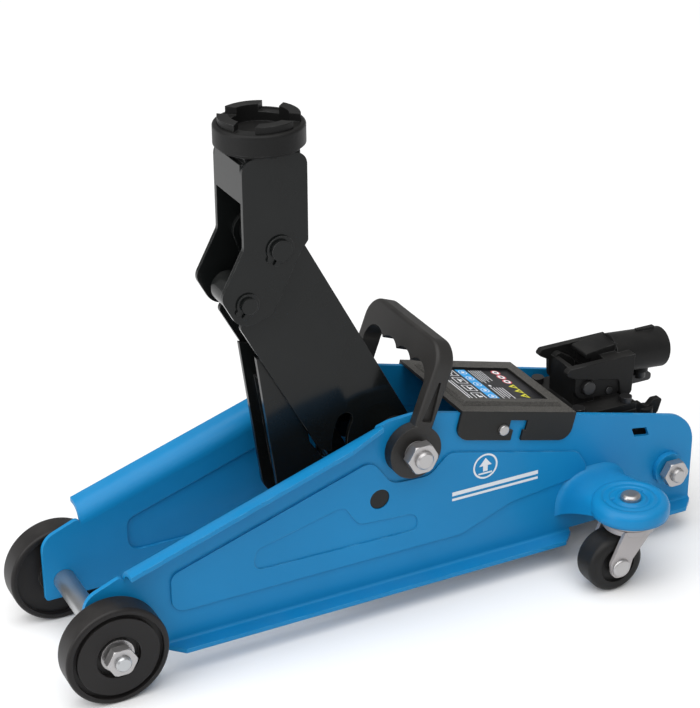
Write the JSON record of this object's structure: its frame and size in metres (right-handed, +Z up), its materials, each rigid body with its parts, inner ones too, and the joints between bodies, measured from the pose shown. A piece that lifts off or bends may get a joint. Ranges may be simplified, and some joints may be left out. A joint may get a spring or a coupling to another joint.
{
  "type": "trolley jack",
  "caption": "Low hydraulic trolley jack: pressed frame on front rollers and swivel casters, levelled saddle on a lift arm, pump unit with handle socket, and a carrying bail.",
  "frame": {"origin": "mid length and mid width of the whole jack, on the floor it stands on", "axes": "+X forward, towards the front rollers and saddle; +Y to the jack's left; +Z up"},
  "size_m": [0.456, 0.217, 0.3306],
  "materials": {
    "blue_paint": "smooth bright blue powder coat",
    "black_paint": "gloss black paint on pressed steel",
    "black_cast": "satin black paint on cast and machined steel",
    "zinc_steel": "bright zinc plated fasteners",
    "axle_steel": "bare turned steel, lightly oiled",
    "chrome_rod": "polished ram rod",
    "grey_zinc": "light grey zinc plate on the pressed caster parts",
    "black_roller": "black painted cast iron rollers with a worn tread",
    "black_wheel": "moulded black plastic caster wheels",
    "black_plastic": "textured black moulded plastic",
    "label_film": "printed film with plain pictograms"
  },
  "bodies": {
    "frame": {"side_plate_left": "blue_paint", "side_plate_right": "blue_paint", "caster_bracket_left": "blue_paint", "caster_bracket_right": "blue_paint", "front_axle": "axle_steel", "roller_spacers": "zinc_steel", "roller_washers": "zinc_steel", "axle_nuts": "zinc_steel", "rear_tie_bolt": "zinc_steel", "tie_bolt_washers": "blue_paint", "tie_bolt_nuts": "zinc_steel", "cover_plate": "black_paint", "cover_screws": "zinc_steel", "label_plate": "label_film", "lift_pivot_shaft": "zinc_steel", "pivot_spacers": "black_cast", "pivot_nuts": "zinc_steel", "link_pin": "black_paint", "caster_race_left": "grey_zinc", "caster_race_right": "grey_zinc", "caster_bolts": "zinc_steel", "pump_block": "black_cast", "reservoir": "black_cast", "ram_cylinder": "black_cast", "gland_nut": "black_cast", "socket_yoke": "black_cast", "yoke_bolts": "zinc_steel", "socket_pin": "zinc_steel", "pump_cylinder": "axle_steel", "pump_spring": "zinc_steel", "filler_plug": "black_plastic"},
    "front_roller_left": {"roller_left": "black_roller"},
    "front_roller_right": {"roller_right": "black_roller"},
    "swivel_left": {"caster_fork_left": "grey_zinc", "caster_axle_left": "zinc_steel"},
    "swivel_right": {"caster_fork_right": "grey_zinc", "caster_axle_right": "zinc_steel"},
    "wheel_left": {"caster_wheel_left": "black_wheel"},
    "wheel_right": {"caster_wheel_right": "black_wheel"},
    "arm": {"lift_arm": "black_paint", "rocker": "black_paint", "ram_pin": "zinc_steel"},
    "arm_roller": {"ram_roller": "axle_steel"},
    "link": {"tie_link": "black_paint"},
    "head": {"saddle_bracket": "black_paint", "head_pin": "black_paint", "link_head_pin": "zinc_steel", "circlips": "zinc_steel"},
    "saddle": {"saddle_cup": "black_cast", "saddle_crown": "black_cast", "saddle_clip": "zinc_steel"},
    "ram": {"ram_rod": "chrome_rod", "ram_head": "black_cast"},
    "socket": {"handle_socket": "black_cast", "cam_pin": "zinc_steel"},
    "socket_roller": {"cam_roller": "axle_steel"},
    "thumb_screw": {"clamp_screw": "zinc_steel"},
    "piston": {"pump_piston": "axle_steel"},
    "lowering_valve": {"release_valve": "black_cast"},
    "grip": {"carry_handle": "black_plastic"}
  },
  "joints": [
    {"name": "arm_lift", "type": "hinge", "parent": "frame", "child": "arm", "pos_m": [-0.0095, 0, 0.112], "axis": [0, 1, 0], "range_deg": [0, 81.4]},
    {"name": "link_turn", "type": "hinge", "parent": "frame", "child": "link", "pos_m": [0.0121, 0, 0.0809], "axis": [0, 1, 0], "range_deg": [0, 81.5]},
    {"name": "head_level", "type": "hinge", "parent": "arm", "child": "head", "pos_m": [0.06776, 0, 0.25371], "axis": [0, 1, 0], "range_deg": [-81.5, 0]},
    {"name": "saddle_turn", "type": "hinge", "parent": "head", "child": "saddle", "pos_m": [0.06996, 0, 0.3115], "axis": [0, 0, 1], "continuous": true},
    {"name": "arm_roller_spin", "type": "hinge", "parent": "arm", "child": "arm_roller", "pos_m": [0.03256, 0, 0.0631], "axis": [0, 1, 0], "continuous": true},
    {"name": "ram_slide", "type": "slide", "parent": "frame", "child": "ram", "axis": [1, 0, 0], "range_m": [-0.0842, 0]},
    {"name": "socket_lift", "type": "hinge", "parent": "frame", "child": "socket", "pos_m": [-0.1545, 0, 0.11], "axis": [0, 1, 0], "range_deg": [0, 45]},
    {"name": "socket_roller_spin", "type": "hinge", "parent": "socket", "child": "socket_roller", "pos_m": [-0.1715, 0, 0.104], "axis": [0, 1, 0], "continuous": true},
    {"name": "thumb_screw_turn", "type": "hinge", "parent": "socket", "child": "thumb_screw", "pos_m": [-0.2085, 0, 0.1], "axis": [0, 0, 1], "continuous": true},
    {"name": "pump_stroke", "type": "slide", "parent": "frame", "child": "piston", "axis": [0, 0, 1], "range_m": [0, 0.014], "deforming": ["pump_spring"]},
    {"name": "valve_turn", "type": "hinge", "parent": "frame", "child": "lowering_valve", "pos_m": [-0.2, 0.021, 0.085], "axis": [0, 0, 1], "range_deg": [0, 360]},
    {"name": "grip_swing", "type": "hinge", "parent": "frame", "child": "grip", "pos_m": [-0.0095, 0, 0.112], "axis": [0, 1, 0], "range_deg": [-30, 20]},
    {"name": "roller_left_spin", "type": "hinge", "parent": "frame", "child": "front_roller_left", "pos_m": [0.1955, 0.051, 0.0325], "axis": [0, 1, 0], "continuous": true},
    {"name": "roller_right_spin", "type": "hinge", "parent": "frame", "child": "front_roller_right", "pos_m": [0.1955, -0.051, 0.0325], "axis": [0, 1, 0], "continuous": true},
    {"name": "caster_left_swivel", "type": "hinge", "parent": "frame", "child": "swivel_left", "pos_m": [-0.148, 0.083, 0.044], "axis": [0, 0, 1], "continuous": true},
    {"name": "caster_left_spin", "type": "hinge", "parent": "swivel_left", "child": "wheel_left", "pos_m": [-0.134, 0.083, 0.02], "axis": [0, 1, 0], "continuous": true},
    {"name": "caster_right_swivel", "type": "hinge", "parent": "frame", "child": "swivel_right", "pos_m": [-0.148, -0.083, 0.044], "axis": [0, 0, 1], "continuous": true},
    {"name": "caster_right_spin", "type": "hinge", "parent": "swivel_right", "child": "wheel_right", "pos_m": [-0.134, -0.083, 0.02], "axis": [0, 1, 0], "continuous": true}
  ],
  "couplings": [
    {"joint": "link_turn", "follows": "arm_lift", "ratio": 1},
    {"joint": "head_level", "follows": "arm_lift", "ratio": -1},
    {"joint": "ram_slide", "follows": "arm_lift", "m_per_rad": -0.059196},
    {"joint": "pump_stroke", "follows": "socket_lift", "m_per_rad": 0.0175}
  ]
}
